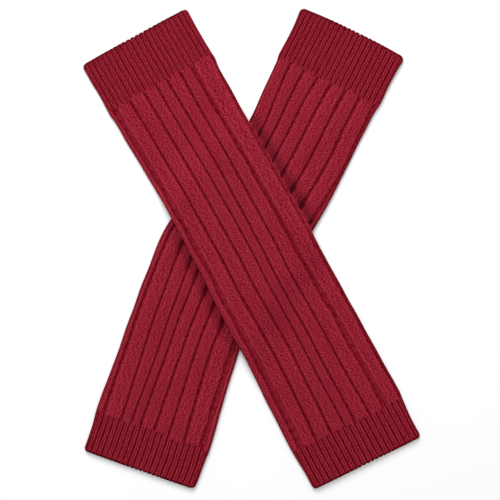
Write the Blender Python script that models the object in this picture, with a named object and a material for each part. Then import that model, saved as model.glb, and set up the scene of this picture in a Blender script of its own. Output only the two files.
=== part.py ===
"""A pair of rib knit leg warmers, pressed flat and laid crossed on a surface.

Each leg warmer is a knitted tube in three pieces: a cuff of narrow ribs at each end, and between
them the leg with its wide ribs. The upper one lies over the lower one and comes down to the surface
on both sides of it. Units are metres, +Z is up and +Y runs towards the top hems. The origin is on
the surface, under the middle of the pair.
"""

import math
from collections import namedtuple
from functools import cache

import bmesh
import bpy
from mathutils import Matrix, Vector

PAIR_NAME = "leg_warmer_pair"
SEAM_GAP = 0.0003
REST_GAP = 0.0003

# Cloth from the surface upwards: under wall, gap between the panels, top wall, rise of a rib
Walls = namedtuple("Walls", "under gap top rise")
LEG_WALLS = Walls(under=0.0020, gap=0.0004, top=0.0014, rise=0.0013)
CUFF_WALLS = Walls(under=0.0019, gap=0.0004, top=0.0012, rise=0.0009)
MOUTH_GAP = 0.0009
MOUTH_LENGTH = 0.022

# Folds at the two sides: how far in the rounding starts, and the points that round it
FOLD_REACH = 0.0035
FOLD_TIP_HEIGHT = 0.0024
SHOULDER_IN = 0.0009
LOWER_SHOULDER_IN = 0.0008
LOWER_SHOULDER_HEIGHT = 0.0008
UNDERSIDE_IN = 0.0024
HOLLOW_IN = 0.0026
HOLLOW_TIP_IN = 0.0021
SPANS_ACROSS = 8

# Wide ribs: their lips beside a groove, and how they swell out of the seam with a cuff
LIP_SHARE = 0.80
GROOVE_LIMIT_IN = 0.0024
LEAST_STEP = 0.0003
SEAM_RISE_SHARE = 0.35
SWELL_LENGTH = 0.006

# Narrow ribs on the top panel of a cuff, and the half width of a crest in pitches
TOP_CUFF_RIBS = 22
BOTTOM_CUFF_RIBS = 20
CUFF_CREST_SHARE = 0.27

# The upper leg warmer comes down to the surface over this distance past the lower one
FALL_START = 0.002
FALL_LENGTH = 0.030

# Distances between rows of points, and the stretches of the upper leg that bend over the lower one
CUFF_ROW_SPACING = 0.012
LEG_ROW_SPACING = 0.0145
BEND_ROW_SPACING = 0.0085
BEND_STRETCHES = ((0.062, 0.150), (0.206, 0.312))

Station = namedtuple("Station", "along aside half lean bow")
Groove = namedtuple("Groove", "top high middle low bottom opening")
HemRow = namedtuple("HemRow", "inward narrower lower raised")
Row = namedtuple("Row", "station ribs walls hem")
Warmer = namedtuple("Warmer", "name hem_middle turn stations grooves cuff_end leg_end lies_over")

# Distances along the leg of a groove's five places
GROOVE_PLACES = (0.046, 0.105, 0.200, 0.300, 0.366)

# Rows from the top hem down: distance along, offset of the middle, half width, lean in degrees, bow
UPPER_STATIONS = (
    Station(0.0000, -0.0002, 0.0497, 0.0, -0.0007),
    Station(0.0140, -0.0003, 0.0495, 0.0, -0.0004),
    Station(0.0300, 0.0001, 0.0492, 0.0, 0.0),
    Station(0.0430, 0.0003, 0.0496, 0.0, 0.0),
    Station(0.0470, 0.0006, 0.0501, 0.0, 0.0),
    Station(0.0560, 0.0006, 0.0493, 0.0, 0.0),
    Station(0.0800, 0.0009, 0.0492, 0.0, 0.0),
    Station(0.1020, 0.0019, 0.0487, 0.0, 0.0),
    Station(0.1360, 0.0026, 0.0490, 0.0, 0.0),
    Station(0.2020, 0.0036, 0.0495, 0.0, 0.0),
    Station(0.2330, 0.0026, 0.0500, 0.0, 0.0),
    Station(0.2830, 0.0021, 0.0500, 0.5, 0.0),
    Station(0.3230, 0.0010, 0.0508, 1.5, 0.0),
    Station(0.3640, 0.0006, 0.0517, 2.4, 0.0),
    Station(0.3740, 0.0005, 0.0507, 2.4, 0.0),
    Station(0.3900, 0.0004, 0.0500, 2.4, 0.0),
    Station(0.4056, 0.0003, 0.0499, 2.4, 0.0003),
)
LOWER_STATIONS = (
    Station(0.0000, 0.0000, 0.0476, 0.0, -0.0020),
    Station(0.0140, -0.0003, 0.0470, 0.0, -0.0010),
    Station(0.0300, -0.0004, 0.0468, 0.0, 0.0),
    Station(0.0430, -0.0004, 0.0472, 0.0, 0.0006),
    Station(0.0490, -0.0005, 0.0466, 0.0, 0.0003),
    Station(0.0570, -0.0005, 0.0460, 0.0, 0.0),
    Station(0.0960, -0.0001, 0.0450, 1.0, 0.0),
    Station(0.1220, -0.0010, 0.0458, 4.0, 0.0),
    Station(0.1490, -0.0042, 0.0479, 10.0, 0.0),
    Station(0.1850, -0.0128, 0.0492, 13.5, 0.0),
    Station(0.2220, -0.0209, 0.0489, 4.0, 0.0),
    Station(0.2500, -0.0194, 0.0484, -4.0, 0.0),
    Station(0.2830, -0.0168, 0.0478, -7.3, 0.0),
    Station(0.3100, -0.0135, 0.0482, -8.0, 0.0),
    Station(0.3370, -0.0098, 0.0489, -8.0, 0.0),
    Station(0.3600, -0.0069, 0.0500, -7.0, 0.0),
    Station(0.3710, -0.0054, 0.0503, -6.2, 0.0),
    Station(0.3860, -0.0032, 0.0495, -6.4, 0.0),
    Station(0.3980, -0.0017, 0.0491, -6.6, 0.0),
    Station(0.4062, -0.0011, 0.0490, -6.6, 0.0006),
)

# Grooves between the wide ribs: offsets from the middle of the leg, and the opening at the lips
UPPER_GROOVES = (
    Groove(-0.0442, -0.0434, -0.0435, -0.0422, -0.0440, 0.0032),
    Groove(-0.0296, -0.0282, -0.0278, -0.0262, -0.0291, 0.0022),
    Groove(-0.0160, -0.0141, -0.0149, -0.0131, -0.0155, 0.0016),
    Groove(-0.0039, -0.0031, -0.0032, -0.0024, -0.0025, 0.0014),
    Groove(0.0060, 0.0079, 0.0056, 0.0068, 0.0069, 0.0014),
    Groove(0.0191, 0.0191, 0.0175, 0.0190, 0.0208, 0.0015),
    Groove(0.0303, 0.0306, 0.0307, 0.0338, 0.0355, 0.0024),
    Groove(0.0473, 0.0477, 0.0466, 0.0489, 0.0509, 0.0014),
)
LOWER_GROOVES = (
    Groove(-0.0462, -0.0450, -0.0435, -0.0429, -0.0441, 0.0018),
    Groove(-0.0348, -0.0318, -0.0305, -0.0284, -0.0276, 0.0018),
    Groove(-0.0224, -0.0229, -0.0185, -0.0170, -0.0201, 0.0014),
    Groove(-0.0099, -0.0120, -0.0085, -0.0082, -0.0098, 0.0016),
    Groove(0.0025, 0.0006, 0.0035, 0.0030, 0.0017, 0.0018),
    Groove(0.0163, 0.0147, 0.0155, 0.0147, 0.0145, 0.0020),
    Groove(0.0294, 0.0288, 0.0283, 0.0268, 0.0286, 0.0019),
    Groove(0.0440, 0.0440, 0.0415, 0.0432, 0.0443, 0.0034),
)

# The rounded lip of a hem: distance in from it, drawn-in sides, lowered top, raised underside
HEM_LIP = (
    HemRow(0.0000, 0.0030, 0.0007, 0.0005),
    HemRow(0.0009, 0.0012, 0.0002, 0.0001),
    HemRow(0.0030, 0.0002, 0.0000, 0.0000),
)
PLAIN = HemRow(0.0, 0.0, 0.0, 0.0)

LOWER = Warmer(
    name="lower",
    hem_middle=(0.0847, 0.1803),
    turn=-25.95,
    stations=LOWER_STATIONS,
    grooves=LOWER_GROOVES,
    cuff_end=0.0455,
    leg_end=0.3720,
    lies_over=None,
)
UPPER = Warmer(
    name="upper",
    hem_middle=(-0.0975, 0.1765),
    turn=28.7,
    stations=UPPER_STATIONS,
    grooves=UPPER_GROOVES,
    cuff_end=0.0453,
    leg_end=0.3698,
    lies_over=LOWER,
)

KNIT_RED = (0.33, 0.012, 0.028, 1.0)
KNIT_ROUGHNESS = 0.92
SHARP_EDGE_ANGLE = 55.0


def clear_scene():
    """Removes every object that the file starts with."""
    for found in list(bpy.data.objects):
        bpy.data.objects.remove(found, do_unlink=True)


def smooth_step(share):
    """Rises from 0 to 1 with level ends."""
    held = min(1.0, max(0.0, share))
    return held * held * (3.0 - 2.0 * held)


def smooth_reading(places, values, place):
    """Reads a value between the rows of a table on a curve that never overshoots them."""
    if place <= places[0]:
        return values[0]
    if place >= places[-1]:
        return values[-1]
    steps = [b - a for a, b in zip(places, places[1:])]
    rates = [(b - a) / step for a, b, step in zip(values, values[1:], steps)]
    slopes = [rates[0]]
    for before, after in zip(rates, rates[1:]):
        slopes.append(0.0 if before * after <= 0.0 else 2.0 * before * after / (before + after))
    slopes.append(rates[-1])
    row = max(i for i, start in enumerate(places[:-1]) if start <= place)
    t = (place - places[row]) / steps[row]
    leaving = slopes[row] * t * (1.0 - t) ** 2
    arriving = slopes[row + 1] * t * t * (t - 1.0)
    rise = (values[row + 1] - values[row]) * smooth_step(t)
    return values[row] + rise + steps[row] * (leaving + arriving)


def station_at(warmer, along):
    """The station of a leg warmer at any distance from its top hem."""
    places, *columns = zip(*warmer.stations)
    return Station(along, *(smooth_reading(places, column, along) for column in columns))


def plan_point(station, across):
    """The place of a point across a row, in the leg warmer's own frame, seen from above."""
    lean = math.radians(station.lean)
    bowed = station.bow * (1.0 - (across / station.half) ** 2)
    return Vector((
        station.aside + across * math.cos(lean),
        -(station.along + bowed + across * math.sin(lean)),
        0.0,
    ))


def place_in_pair(warmer):
    """How a leg warmer's own frame is moved and turned in the pair."""
    turned = Matrix.Rotation(math.radians(warmer.turn), 4, "Z")
    return Matrix.Translation((*warmer.hem_middle, 0.0)) @ turned


@cache
def side_line(warmer, side, rows=60):
    """One long side of a leg warmer as a line of places in the pair's frame, from the top hem down."""
    placed = place_in_pair(warmer)
    stations = [station_at(warmer, warmer.stations[-1].along * row / rows) for row in range(rows + 1)]
    return [(placed @ plan_point(station, side * station.half)).xy for station in stations]


def beyond_side(warmer, side, point):
    """How far a point lies outside one side of a leg warmer; it is negative on the cloth's own side."""
    line = side_line(warmer, side)
    beyond = None
    for start, end in zip(line, line[1:]):
        run = end - start
        share = min(1.0, max(0.0, (point - start).dot(run) / run.length_squared))
        offset = point - (start + run * share)
        if beyond is None or offset.length < abs(beyond):
            outward = Vector((-run.y, run.x)) * side
            beyond = math.copysign(offset.length, offset.dot(outward))
    return beyond


def lift_at(warmer, place):
    """How far the cloth is raised at a place by what it lies over."""
    if warmer.lies_over is None:
        return 0.0
    point = (place_in_pair(warmer) @ place).xy
    beyond = max(beyond_side(warmer.lies_over, side, point) for side in (-1, 1))
    return (sum(LEG_WALLS) + REST_GAP) * (1.0 - smooth_step((beyond - FALL_START) / FALL_LENGTH))


def fold_share(across, half):
    """How much of its full height the cloth keeps near the fold at its side."""
    past = (abs(across) - (half - FOLD_REACH)) / FOLD_REACH
    return math.sqrt(max(0.0, 1.0 - max(0.0, past) ** 2))


def spread_apart(points):
    """Keeps the rising places of rib points at least a small step apart."""
    spread = [points[0]]
    for across, share in points[1:]:
        spread.append((max(across, spread[-1][0] + LEAST_STEP), share))
    return spread


def wide_ribs(warmer, station):
    """Points over the top panel of a leg: places across it, with their share of a rib's rise."""
    limit = station.half - GROOVE_LIMIT_IN
    shoulder = station.half - SHOULDER_IN
    floors = [smooth_reading(GROOVE_PLACES, groove[:5], station.along) for groove in warmer.grooves]
    floors = [min(limit, max(-limit, floor)) for floor in floors]
    edges = [-shoulder, *floors, shoulder]
    points = [(-shoulder, 1.0)]
    for groove, before, floor in zip(warmer.grooves, edges, floors):
        lip = groove.opening / 2.0
        points.append(((before + floor) / 2.0, 1.0))
        points += [(floor - lip, LIP_SHARE), (floor, 0.0), (floor + lip, LIP_SHARE)]
    points += [((floors[-1] + lip + shoulder) / 2.0, 1.0), (shoulder, 1.0)]
    return spread_apart(points)


def narrow_ribs(count, station):
    """Points over the top panel of a cuff: two for each rib's crest and one for each groove."""
    shoulder = station.half - SHOULDER_IN
    reach = station.half - GROOVE_LIMIT_IN / 2.0
    pitch = 2.0 * reach / count
    points = [(-shoulder, 1.0)]
    for rib in range(count):
        middle = pitch * (rib + 0.5) - reach
        points += [(middle - CUFF_CREST_SHARE * pitch, 1.0), (middle + CUFF_CREST_SHARE * pitch, 1.0)]
        if rib < count - 1:
            points.append((middle + pitch / 2.0, 0.0))
    points.append((shoulder, 1.0))
    return spread_apart(points)


def outer_outline(row):
    """The outside of a row as places and heights: over the top from the left, and back underneath."""
    half = row.station.half
    floor = row.walls.under + row.walls.gap + row.walls.top - row.hem.lower
    top = []
    for across, share in row.ribs:
        crown = floor + row.walls.rise * share
        top.append((across, FOLD_TIP_HEIGHT + (crown - FOLD_TIP_HEIGHT) * fold_share(across, half)))
    reach = half - UNDERSIDE_IN
    under = [(half, FOLD_TIP_HEIGHT), (half - LOWER_SHOULDER_IN, LOWER_SHOULDER_HEIGHT)]
    for span in range(SPANS_ACROSS + 1):
        under.append((reach - 2.0 * reach * span / SPANS_ACROSS, row.hem.raised))
    under += [(LOWER_SHOULDER_IN - half, LOWER_SHOULDER_HEIGHT), (-half, FOLD_TIP_HEIGHT)]
    return top, under


def hollow_outline(row):
    """The plain inside of a row, in the same direction round as its outside."""
    reach = row.station.half - HOLLOW_IN
    tip = row.station.half - HOLLOW_TIP_IN
    middle = row.walls.under + row.walls.gap / 2.0
    places = [2.0 * reach * span / SPANS_ACROSS - reach for span in range(SPANS_ACROSS + 1)]
    top = [(place, row.walls.under + row.walls.gap) for place in places]
    under = [(place, row.walls.under) for place in reversed(places)]
    return top, [(tip, middle), *under, (-tip, middle)]


def mouth_outline(row):
    """The inside of an end row, with one point for each point of the row's outside."""
    tip = row.station.half - HOLLOW_TIP_IN
    drawn_in = tip / row.station.half
    middle = row.walls.under + row.walls.gap / 2.0
    outer_top, outer_under = outer_outline(row)
    top = [(across * drawn_in, row.walls.under + row.walls.gap) for across, _ in outer_top]
    under = [(across * drawn_in, row.walls.under) for across, _ in outer_under[1:-1]]
    return top, [(tip, middle), *under, (-tip, middle)]


def way_round(outline, half):
    """Each point's share of the way round: 0 to 0.5 over the top and 0.5 to 1 back underneath."""
    top, under = outline
    over = [(across + half) / (4.0 * half) for across, _ in top]
    back = [1.0 - (across + half) / (4.0 * half) for across, _ in under]
    return [*over, *back, 1.0 + over[0]]


def set_ring(bm, warmer, station, outline):
    """Adds the points of one outline to the mesh, raised by what lies under it."""
    top, under = outline
    ring = []
    for across, height in (*top, *under):
        place = plan_point(station, across)
        ring.append(bm.verts.new((place.x, place.y, height + lift_at(warmer, place))))
    return ring


def add_face(bm, corners, turned):
    """Adds a face, the other way round where it is turned."""
    bm.faces.new(tuple(reversed(corners)) if turned else corners)


def join_rings(bm, first, second, turned):
    """Joins two rings of as many points with four-cornered faces."""
    following = range(1, len(first))
    for i, j in zip(range(len(first)), (*following, 0)):
        add_face(bm, (first[i], first[j], second[j], second[i]), turned)


def join_unlike_rings(bm, first, second, first_ways, second_ways):
    """Joins two rings of unlike points with triangles, in the order of their way round."""
    i = j = 0
    while i < len(first) or j < len(second):
        here, there = first[i % len(first)], second[j % len(second)]
        first_is_next = j == len(second) or (i < len(first) and first_ways[i + 1] <= second_ways[j + 1])
        if first_is_next:
            i += 1
            add_face(bm, (here, first[i % len(first)], there), turned=False)
        else:
            j += 1
            add_face(bm, (here, second[j % len(second)], there), turned=False)


def build_tube(name, warmer, rows, collection, parent):
    """Builds one closed solid of cloth, a tube with a plain hollow, from its rows."""
    bm = bmesh.new()
    outside = [set_ring(bm, warmer, row.station, outer_outline(row)) for row in rows]
    for first, second in zip(outside, outside[1:]):
        join_rings(bm, first, second, turned=True)

    outlines = [mouth_outline(rows[0]), *map(hollow_outline, rows[1:-1]), mouth_outline(rows[-1])]
    inside = [set_ring(bm, warmer, row.station, outline) for row, outline in zip(rows, outlines)]
    ways = [way_round(outline, row.station.half) for row, outline in zip(rows, outlines)]
    for first, second in zip(inside[1:-1], inside[2:-1]):
        join_rings(bm, first, second, turned=False)
    for i, j in ((0, 1), (-2, -1)):
        join_unlike_rings(bm, inside[i], inside[j], ways[i], ways[j])
    join_rings(bm, outside[0], inside[0], turned=False)
    join_rings(bm, outside[-1], inside[-1], turned=True)

    mesh = bpy.data.meshes.new(name)
    bm.to_mesh(mesh)
    bm.free()
    mesh.shade_smooth()
    mesh.set_sharp_from_angle(angle=math.radians(SHARP_EDGE_ANGLE))
    mesh.materials.append(knit_material(name))
    tube = bpy.data.objects.new(name, mesh)
    tube.parent = parent
    collection.objects.link(tube)


def knit_material(name):
    """Matt red yarn."""
    material = bpy.data.materials.new(name + "_knit")
    material.use_nodes = True
    shader = material.node_tree.nodes["Principled BSDF"]
    shader.inputs["Base Color"].default_value = KNIT_RED
    shader.inputs["Roughness"].default_value = KNIT_ROUGHNESS
    shader.inputs["Metallic"].default_value = 0.0
    return material


def even_places(start, end, spacing):
    """Places from start to end, about a spacing apart."""
    count = max(1, round((end - start) / spacing))
    return [start + (end - start) * i / count for i in range(count + 1)]


def cuff_rows(warmer, hem, seam, rib_count):
    """The rows of a cuff, from its upper end to its lower one, with a rounded lip at the hem."""
    inward = math.copysign(1.0, seam - hem)
    places = [(hem + inward * lip.inward, lip) for lip in HEM_LIP]
    inner = even_places(hem + inward * HEM_LIP[-1].inward, seam, inward * CUFF_ROW_SPACING)
    places += [(along, PLAIN) for along in inner[1:]]
    rows = []
    for along, lip in sorted(places):
        station = station_at(warmer, along)
        mouth_share = 1.0 - smooth_step(abs(along - hem) / MOUTH_LENGTH)
        gap = CUFF_WALLS.gap + (MOUTH_GAP - CUFF_WALLS.gap) * mouth_share
        station = station._replace(half=station.half - lip.narrower)
        rows.append(Row(station, narrow_ribs(rib_count, station), CUFF_WALLS._replace(gap=gap), lip))
    return rows


def leg_rows(warmer, start, end):
    """The rows of a leg between its two seams, closer together where it bends over the other one."""
    breaks = [start, start + SWELL_LENGTH]
    spacings = [SWELL_LENGTH, LEG_ROW_SPACING]
    if warmer.lies_over:
        for bend_start, bend_end in BEND_STRETCHES:
            breaks += [bend_start, bend_end]
            spacings += [BEND_ROW_SPACING, LEG_ROW_SPACING]
    breaks += [end - SWELL_LENGTH, end]
    spacings.append(SWELL_LENGTH)
    places = [start]
    for stretch_start, stretch_end, spacing in zip(breaks, breaks[1:], spacings):
        places += even_places(stretch_start, stretch_end, spacing)[1:]
    rows = []
    for along in places:
        station = station_at(warmer, along)
        swell = smooth_step(min(along - start, end - along) / SWELL_LENGTH)
        rise = LEG_WALLS.rise * (SEAM_RISE_SHARE + (1.0 - SEAM_RISE_SHARE) * swell)
        rows.append(Row(station, wide_ribs(warmer, station), LEG_WALLS._replace(rise=rise), PLAIN))
    return rows


def build_warmer(warmer, collection):
    """Builds the three pieces of one leg warmer, under an empty at its top hem."""
    frame = bpy.data.objects.new(warmer.name + "_leg_warmer", None)
    frame.location = (*warmer.hem_middle, 0.0)
    frame.rotation_euler.z = math.radians(warmer.turn)
    collection.objects.link(frame)
    clear = SEAM_GAP / 2.0
    last = warmer.stations[-1].along
    pieces = {
        "top_cuff": cuff_rows(warmer, 0.0, warmer.cuff_end - clear, TOP_CUFF_RIBS),
        "leg_tube": leg_rows(warmer, warmer.cuff_end + clear, warmer.leg_end - clear),
        "bottom_cuff": cuff_rows(warmer, last, warmer.leg_end + clear, BOTTOM_CUFF_RIBS),
    }
    for piece, rows in pieces.items():
        build_tube(f"{warmer.name}_{piece}", warmer, rows, collection, frame)


def main():
    """Builds the pair."""
    clear_scene()
    collection = bpy.data.collections.new(PAIR_NAME)
    bpy.context.scene.collection.children.link(collection)
    for warmer in (LOWER, UPPER):
        build_warmer(warmer, collection)


main()
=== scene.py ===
"""A pair of deep red rib knit leg warmers, pressed flat and laid crossed on a pale floor.

Each leg warmer is worked out as one knitted tube of 176 stitches round. It is cut at its two seams
into a top cuff, a leg and a bottom cuff, which stand for the plain solids of the frame.
"""
from __future__ import annotations

import logging
import math
import random
from dataclasses import dataclass
from enum import Enum
from typing import Any, Optional

import bmesh
import bpy
import numpy as np
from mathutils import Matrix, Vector

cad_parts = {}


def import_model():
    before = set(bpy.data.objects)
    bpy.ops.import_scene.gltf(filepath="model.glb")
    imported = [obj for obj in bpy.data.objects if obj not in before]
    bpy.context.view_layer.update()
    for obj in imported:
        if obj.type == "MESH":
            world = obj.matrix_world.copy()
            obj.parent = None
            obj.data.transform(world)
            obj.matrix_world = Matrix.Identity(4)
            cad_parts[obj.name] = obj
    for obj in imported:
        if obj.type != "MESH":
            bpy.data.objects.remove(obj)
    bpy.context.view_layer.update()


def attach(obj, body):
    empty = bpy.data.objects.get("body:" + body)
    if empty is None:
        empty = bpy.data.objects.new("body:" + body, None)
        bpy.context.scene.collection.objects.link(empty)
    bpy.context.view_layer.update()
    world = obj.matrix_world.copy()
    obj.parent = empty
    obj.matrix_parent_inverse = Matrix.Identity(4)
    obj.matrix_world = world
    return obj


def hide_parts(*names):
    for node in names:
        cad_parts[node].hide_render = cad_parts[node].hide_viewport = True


log = logging.getLogger("leg_warmers")

Array = np.ndarray
Colour = tuple[float, float, float, float]

STITCHES = 176
POINTS_PER_STITCH = 3
COLUMNS = STITCHES * POINTS_PER_STITCH
WIDE_RIB_STITCHES = 11
PURL_STITCHES = 3
WIDE_RIBS = STITCHES // WIDE_RIB_STITCHES
TOP_GROOVES = 8
NARROW_RIB_STITCHES = 4
NARROW_RIBS = STITCHES // NARROW_RIB_STITCHES
STITCH_OF_COLUMN = np.arange(COLUMNS + 1) / POINTS_PER_STITCH
COURSE_HEIGHT = 0.00092
UV_NAME = "stitches"
# Mesh value of painted shade, negative for painted highlight, mixed into the yarn's colour.
PAINTED_SHADING_NAME = "painted_shading"
PURL_NAME = "purl"
CAST_NAME = "cast_shade"
GROOVE_PLACES = (0.046, 0.105, 0.200, 0.300, 0.366)
REST_GAP = 0.0003
WELD_DISTANCE = 1e-7
BODY = "root"


class Piece(Enum):
    """The three pieces of a leg warmer, with the frame's names for them and their finish."""

    TOP_CUFF = ("top_cuff", "cuff_knit")
    LEG = ("leg_tube", "leg_knit")
    BOTTOM_CUFF = ("bottom_cuff", "cuff_knit")

    def __init__(self, node: str, slot: str) -> None:
        """Keeps the ending of the frame node's name and a material slot name, which the script does not use.
        """
        self.node = node
        self.slot = slot


def smooth_step(share: Array) -> Array:
    """Rises from 0 to 1 with level ends."""
    held = np.clip(share, 0.0, 1.0)
    return held * held * (3.0 - 2.0 * held)


def off_middle(stitch: Array, every: int) -> Array:
    """How far stitches stand past the middle of the rib or repeat that they are in."""
    return stitch % every - every / 2.0


def blended(first: Any, second: Any, share: Any) -> Any:
    """Goes from the first value to the second as the share goes from 0 to 1."""
    return first + (second - first) * share


def read(parts: Any, name: str, size: int, kind: type = float) -> Array:
    """Reads a value that each part of a mesh has.

    Args:
        parts: The mesh's points, edges or corners.
        name: The value's name.
        size: How many numbers it has.
        kind: What they are read as.

    Returns:
        A row of numbers for each part.
    """
    found = np.empty(len(parts) * size, dtype=kind)
    parts.foreach_get(name, found)
    return found.reshape(-1, size)


def added(name: str, data: bpy.types.ID) -> bpy.types.Object:
    """Adds an object to the scene.

    Args:
        name: Its name.
        data: Its mesh, light or camera.

    Returns:
        The object.
    """
    made = bpy.data.objects.new(name, data)
    bpy.context.scene.collection.objects.link(made)
    return made


@dataclass(frozen=True)
class Curve:
    """A smooth line through the rows of a table, which never overshoots them."""

    places: tuple[float, ...]
    values: tuple[float, ...]

    def at(self, place: Array) -> Array:
        """Reads the line.

        Args:
            place: Where it is read.

        Returns:
            Its values there.
        """
        places = np.array(self.places)
        values = np.array(self.values)
        steps = np.diff(places)
        rates = np.diff(values) / steps
        products = rates[:-1] * rates[1:]
        sums = np.where(products > 0.0, rates[:-1] + rates[1:], 1.0)
        inner = np.where(products > 0.0, 2.0 * products / sums, 0.0)
        slopes = np.concatenate([rates[:1], inner, rates[-1:]])
        held = np.clip(place, places[0], places[-1])
        row = np.clip(np.searchsorted(places, held, side="right") - 1, 0, len(steps) - 1)
        t = (held - places[row]) / steps[row]
        bend = slopes[row] * t * (1.0 - t) ** 2 + slopes[row + 1] * t * t * (t - 1.0)
        return values[row] + np.diff(values)[row] * smooth_step(t) + steps[row] * bend


@dataclass(frozen=True)
class Waver:
    """A gentle unevenness along the knitting, the same in each run."""

    seed: int
    size: float
    shortest: float
    longest: float
    waves: int = 4

    def at(self, place: Array) -> Array:
        """Reads the unevenness.

        Args:
            place: Distances along the knitting.

        Returns:
            Offsets within about the waver's size.
        """
        draw = random.Random(self.seed)
        total = np.zeros_like(place)
        for _ in range(self.waves):
            length = draw.uniform(self.shortest, self.longest)
            turn = draw.uniform(0.0, math.tau)
            total = total + np.sin(math.tau * place / length + turn)
        return total * self.size / math.sqrt(self.waves)


@dataclass(frozen=True)
class Station:
    """A row of a leg warmer: offset of its middle, half width, lean in degrees and bow."""

    along: float
    aside: float
    half: float
    lean: float = 0.0
    bow: float = 0.0


@dataclass(frozen=True)
class Groove:
    """A groove between two wide ribs: its offsets at five places, and how far its purl shows there."""

    offsets: tuple[float, ...]
    openings: tuple[float, ...]


@dataclass(frozen=True)
class Ribbing:
    """How the narrow ribs of a cuff lie on the side that shows.

    Attributes:
        first: The first valley's distance from the middle, to the right.
        spacing: From one valley to the next.
        bend: How far the ribs halfway across stand to the right of even places.
        shade: The strength of the ribs' painted shades.
    """

    first: float
    spacing: float
    bend: float
    shade: float

    def ways(self, counts: Array, top_way: float, round_way: float) -> Array:
        """Where the ribs lie round the tube.

        Args:
            counts: Ribs from the first valley.
            top_way: The way from a fold's tip to the middle of the top panel.
            round_way: The whole way round.

        Returns:
            The way round from the left fold's tip.
        """
        on_top = (top_way - self.first) / self.spacing
        start = top_way + self.first
        share = np.clip(counts / on_top, 0.0, 1.0)
        even = np.interp(counts, (0.0, on_top, NARROW_RIBS), (start, 2.0 * top_way, start + round_way))
        return even + self.bend * 4.0 * share * (1.0 - share)


@dataclass(frozen=True)
class Crease:
    """A soft trough, or a ridge where its depth is negative, on the top panel."""

    along: float
    across: float
    length: float
    width: float
    heading: float
    depth: float

    def at(self, along: Array, across: Array) -> Array:
        """How far the crease lowers the cloth.

        Args:
            along: Distances from the top hem.
            across: Distances from the middle of the leg.

        Returns:
            The lowering at each point.
        """
        turn = math.radians(self.heading)
        down, aside = along - self.along, across - self.across
        run = down * math.cos(turn) + aside * math.sin(turn)
        off = aside * math.cos(turn) - down * math.sin(turn)
        return self.depth * np.exp(-((run / self.length) ** 2) - (off / self.width) ** 2)


@dataclass(frozen=True)
class Corner:
    """A quarter of an ellipse that rounds a fold, measured from the tip of the fold."""

    reach: float
    rise: float
    samples: int = 65

    def tables(self) -> tuple[Array, Array]:
        """Lengths of arc from the tip, and the angles reached there.

        Returns:
            The lengths and the angles.
        """
        angles = np.linspace(0.0, math.pi / 2.0, self.samples)
        x = self.reach * (1.0 - np.cos(angles))
        z = self.rise * np.sin(angles)
        lengths = np.concatenate([[0.0], np.cumsum(np.hypot(np.diff(x), np.diff(z)))])
        return lengths, angles

    @property
    def length(self) -> float:
        """The length of the whole quarter."""
        return float(self.tables()[0][-1])

    def way_from_tip(self, inward: Array) -> Array:
        """The way along the cloth from the tip to a place that far in from it.

        Args:
            inward: Distances in from the tip, seen from above.

        Returns:
            Lengths along the cloth.
        """
        lengths, angles = self.tables()
        angle = np.arccos(np.clip(1.0 - inward / self.reach, 0.0, 1.0))
        straight = lengths[-1] + inward - self.reach
        return np.where(inward < self.reach, np.interp(angle, angles, lengths), straight)

    def round(self, way: Array) -> tuple[Array, Array]:
        """The form at a way along the cloth from the tip.

        Args:
            way: Lengths along the cloth.

        Returns:
            Distances in from the tip and angles of the arc.
        """
        lengths, angles = self.tables()
        angle = np.interp(way, lengths, angles)
        inward = self.reach * (1.0 - np.cos(angle)) + np.maximum(way - lengths[-1], 0.0)
        return inward, angle


@dataclass(frozen=True)
class Rows:
    """Rows of points along a piece: where each lies, and how far through the cloth it is."""

    along: Array
    through: Array

    def then(self, other: Rows) -> Rows:
        """Joins more rows on."""
        return Rows(np.append(self.along, other.along), np.append(self.through, other.through))


@dataclass(frozen=True)
class Lay:
    """How the points of a piece lie on the smooth tube under its ribs.

    Attributes:
        along: Distances from the top hem, one for each row.
        through: How far through the cloth each row is.
        half: Half widths of the rows.
        wide_stitch: Stitches from the left fold, with the leg's ribs, for each row and column.
        narrow_stitch: The same with a cuff's ribs.
        open_shares: How open each groove is in each row.
        share: How far each point belongs to the leg and not to a cuff.
        x: Places across.
        z: Heights.
        out_x: The part across of the outward direction.
        out_z: The upward part of the outward direction.
    """

    along: Array
    through: Array
    half: Array
    wide_stitch: Array
    narrow_stitch: Array
    open_shares: Array
    share: Array
    x: Array
    z: Array
    out_x: Array
    out_z: Array


@dataclass(frozen=True)
class Surface:
    """The points of a piece, with what its finish reads at each: painted shade and highlight, where stitches
    are purl, and a painted shadow.
    """

    points: Array
    painted_shading: Array
    purl: Array
    cast: Array


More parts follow.
